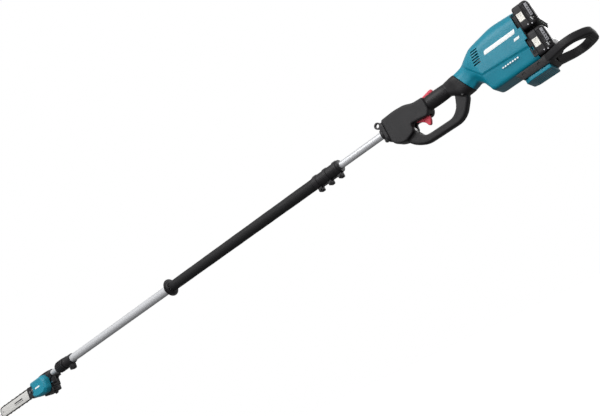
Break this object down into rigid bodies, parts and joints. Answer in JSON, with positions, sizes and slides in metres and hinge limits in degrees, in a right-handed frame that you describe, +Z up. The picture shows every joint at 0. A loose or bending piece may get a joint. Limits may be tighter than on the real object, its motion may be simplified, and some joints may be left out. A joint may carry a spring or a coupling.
{
  "type": "telescoping pole saw",
  "caption": "Long-reach pole saw: rear power head with side-loading battery packs, closed hand loop, foam grip, telescoping pole and chain-bar head.",
  "frame": {"origin": "on the pole axis, at the front face of the handle where the pole enters it", "axes": "+X along the pole towards the battery packs (the bar tip points to -X), +Z up (the hand loop hangs to -Z), -Y to the user's left"},
  "size_m": [3.055, 0.16, 0.194],
  "materials": {
    "housing_teal": "moulded teal plastic, satin",
    "black_plastic": "moulded near-black plastic, fine texture",
    "black_gloss": "smooth black plastic",
    "trigger_red": "moulded pinkish-red plastic",
    "button_grey": "light grey plastic",
    "pipe_silver": "satin silver tube",
    "foam_black": "closed-cell foam",
    "steel": "bright machined steel",
    "screw_steel": "dark zinc-plated steel",
    "bar_steel": "ground bar steel",
    "chain_steel": "oiled chain steel",
    "bearing_steel": "polished bearing steel",
    "stator_steel": "laminated electrical steel",
    "copper": "enamelled copper wire",
    "terminal_brass": "plated brass contacts",
    "bush_nylon": "natural nylon",
    "fan_plastic": "glass-filled nylon",
    "board": "epoxy circuit board",
    "cell_wrap": "shrink-wrapped cells"
  },
  "bodies": {
    "power_head": {"handle_shell_left": "black_plastic", "handle_shell_right": "black_plastic", "handle_nose_ring": "black_plastic", "harness_hanger": "black_plastic", "motor_housing_left": "housing_teal", "motor_housing_right": "housing_teal", "switch_module": "black_gloss", "motor_stator": "stator_steel", "stator_windings": "copper", "motor_bearings": "bearing_steel", "controller_board": "board", "battery_shoe": "black_plastic", "battery_terminals": "terminal_brass", "battery_guard": "black_plastic", "base_foot": "housing_teal", "powerhead_fasteners": "screw_steel", "rear_pipe": "pipe_silver", "outer_pipe": "pipe_silver", "fore_grip_foam": "foam_black", "hand_stop_flange": "black_plastic", "pipe_joint_clamp": "black_plastic", "pole_clamp_bolts": "screw_steel", "shaft_bushes": "bush_nylon", "telescope_clamp_base": "black_plastic", "pipe_collet": "bush_nylon"},
    "rotor": {"motor_rotor": "stator_steel", "motor_shaft": "steel", "cooling_fan": "fan_plastic", "rear_drive_shaft": "steel"},
    "trigger": {"trigger": "trigger_red"},
    "lock_off_lever": {"lock_off_lever": "trigger_red"},
    "twist_collar": {"twist_collar": "black_plastic"},
    "saw_head": {"inner_pipe": "pipe_silver", "inner_pipe_tail_bush": "bush_nylon", "gearbox_housing": "black_plastic", "gearbox_cover": "black_plastic", "gear_bearings": "bearing_steel", "guide_bar": "bar_steel", "saw_chain": "chain_steel", "sprocket_cover": "housing_teal", "bar_clamp_plate": "black_plastic", "saw_head_fasteners": "steel", "oil_tank": "black_plastic"},
    "front_shaft": {"front_drive_shaft": "steel", "bevel_pinion": "steel"},
    "idler_gear": {"idler_gear": "steel"},
    "output_shaft": {"output_gear": "steel", "drive_sprocket": "steel"},
    "nose_sprocket": {"nose_sprocket": "steel"},
    "oil_cap": {"oil_cap": "black_plastic"},
    "battery_upper": {"battery_upper_case": "black_plastic", "battery_upper_cover": "black_plastic", "battery_upper_cells": "cell_wrap"},
    "battery_upper_release_button": {"battery_upper_release_button": "button_grey"},
    "battery_upper_check_button": {"battery_upper_check_button": "black_gloss"},
    "battery_lower": {"battery_lower_case": "black_plastic", "battery_lower_cover": "black_plastic", "battery_lower_cells": "cell_wrap"},
    "battery_lower_release_button": {"battery_lower_release_button": "button_grey"},
    "battery_lower_check_button": {"battery_lower_check_button": "black_gloss"}
  },
  "joints": [
    {"name": "telescope_slide", "type": "slide", "parent": "power_head", "child": "saw_head", "axis": [-1, 0, 0], "range_m": [0, 1.1]},
    {"name": "twist_collar_turn", "type": "hinge", "parent": "power_head", "child": "twist_collar", "pos_m": [-1.88, 0, 0], "axis": [1, 0, 0], "range_deg": [0, 120]},
    {"name": "trigger_pull", "type": "hinge", "parent": "power_head", "child": "trigger", "pos_m": [0.102, 0, -0.024], "axis": [0, -1, 0], "range_deg": [0, 8], "stiffness_Nm_per_rad": 0.6, "springref_deg": -14.32},
    {"name": "lock_off_press", "type": "hinge", "parent": "power_head", "child": "lock_off_lever", "pos_m": [0.13, 0, 0.0162], "axis": [0, 1, 0], "range_deg": [0, 5.5], "stiffness_Nm_per_rad": 0.4, "springref_deg": -14.32},
    {"name": "rotor_spin", "type": "hinge", "parent": "power_head", "child": "rotor", "pos_m": [0.36, 0, 0], "axis": [1, 0, 0], "continuous": true},
    {"name": "front_shaft_spin", "type": "hinge", "parent": "saw_head", "child": "front_shaft", "pos_m": [-2, 0, 0], "axis": [1, 0, 0], "continuous": true},
    {"name": "idler_gear_spin", "type": "hinge", "parent": "saw_head", "child": "idler_gear", "pos_m": [-2.03, 0, 0], "axis": [0, 1, 0], "continuous": true},
    {"name": "output_shaft_spin", "type": "hinge", "parent": "saw_head", "child": "output_shaft", "pos_m": [-2.03361, 0, -0.026], "axis": [0, 1, 0], "continuous": true},
    {"name": "nose_sprocket_spin", "type": "hinge", "parent": "saw_head", "child": "nose_sprocket", "pos_m": [-2.398, -0.02, -0.026], "axis": [0, 1, 0], "continuous": true},
    {"name": "oil_cap_turn", "type": "hinge", "parent": "saw_head", "child": "oil_cap", "pos_m": [-1.996, 0.008, -0.078], "axis": [0, 0, 1], "range_deg": [0, 360]},
    {"name": "battery_upper_slide", "type": "slide", "parent": "power_head", "child": "battery_upper", "axis": [0, -1, 0], "range_m": [0, 0.12]},
    {"name": "battery_upper_release", "type": "slide", "parent": "battery_upper", "child": "battery_upper_release_button", "axis": [0, 1, 0], "range_m": [0, 0.0035], "stiffness_N_per_m": 800, "springref_m": -0.004},
    {"name": "battery_upper_check", "type": "slide", "parent": "battery_upper", "child": "battery_upper_check_button", "axis": [0, 1, 0], "range_m": [0, 0.001], "stiffness_N_per_m": 400, "springref_m": -0.001},
    {"name": "battery_lower_slide", "type": "slide", "parent": "power_head", "child": "battery_lower", "axis": [0, -1, 0], "range_m": [0, 0.12]},
    {"name": "battery_lower_release", "type": "slide", "parent": "battery_lower", "child": "battery_lower_release_button", "axis": [0, 1, 0], "range_m": [0, 0.0035], "stiffness_N_per_m": 800, "springref_m": -0.004},
    {"name": "battery_lower_check", "type": "slide", "parent": "battery_lower", "child": "battery_lower_check_button", "axis": [0, 1, 0], "range_m": [0, 0.001], "stiffness_N_per_m": 400, "springref_m": -0.001}
  ],
  "couplings": [
    {"joint": "front_shaft_spin", "follows": "rotor_spin", "ratio": 1},
    {"joint": "idler_gear_spin", "follows": "rotor_spin", "ratio": -0.57143},
    {"joint": "output_shaft_spin", "follows": "rotor_spin", "ratio": 0.28571},
    {"joint": "nose_sprocket_spin", "follows": "rotor_spin", "ratio": 0.2449}
  ]
}
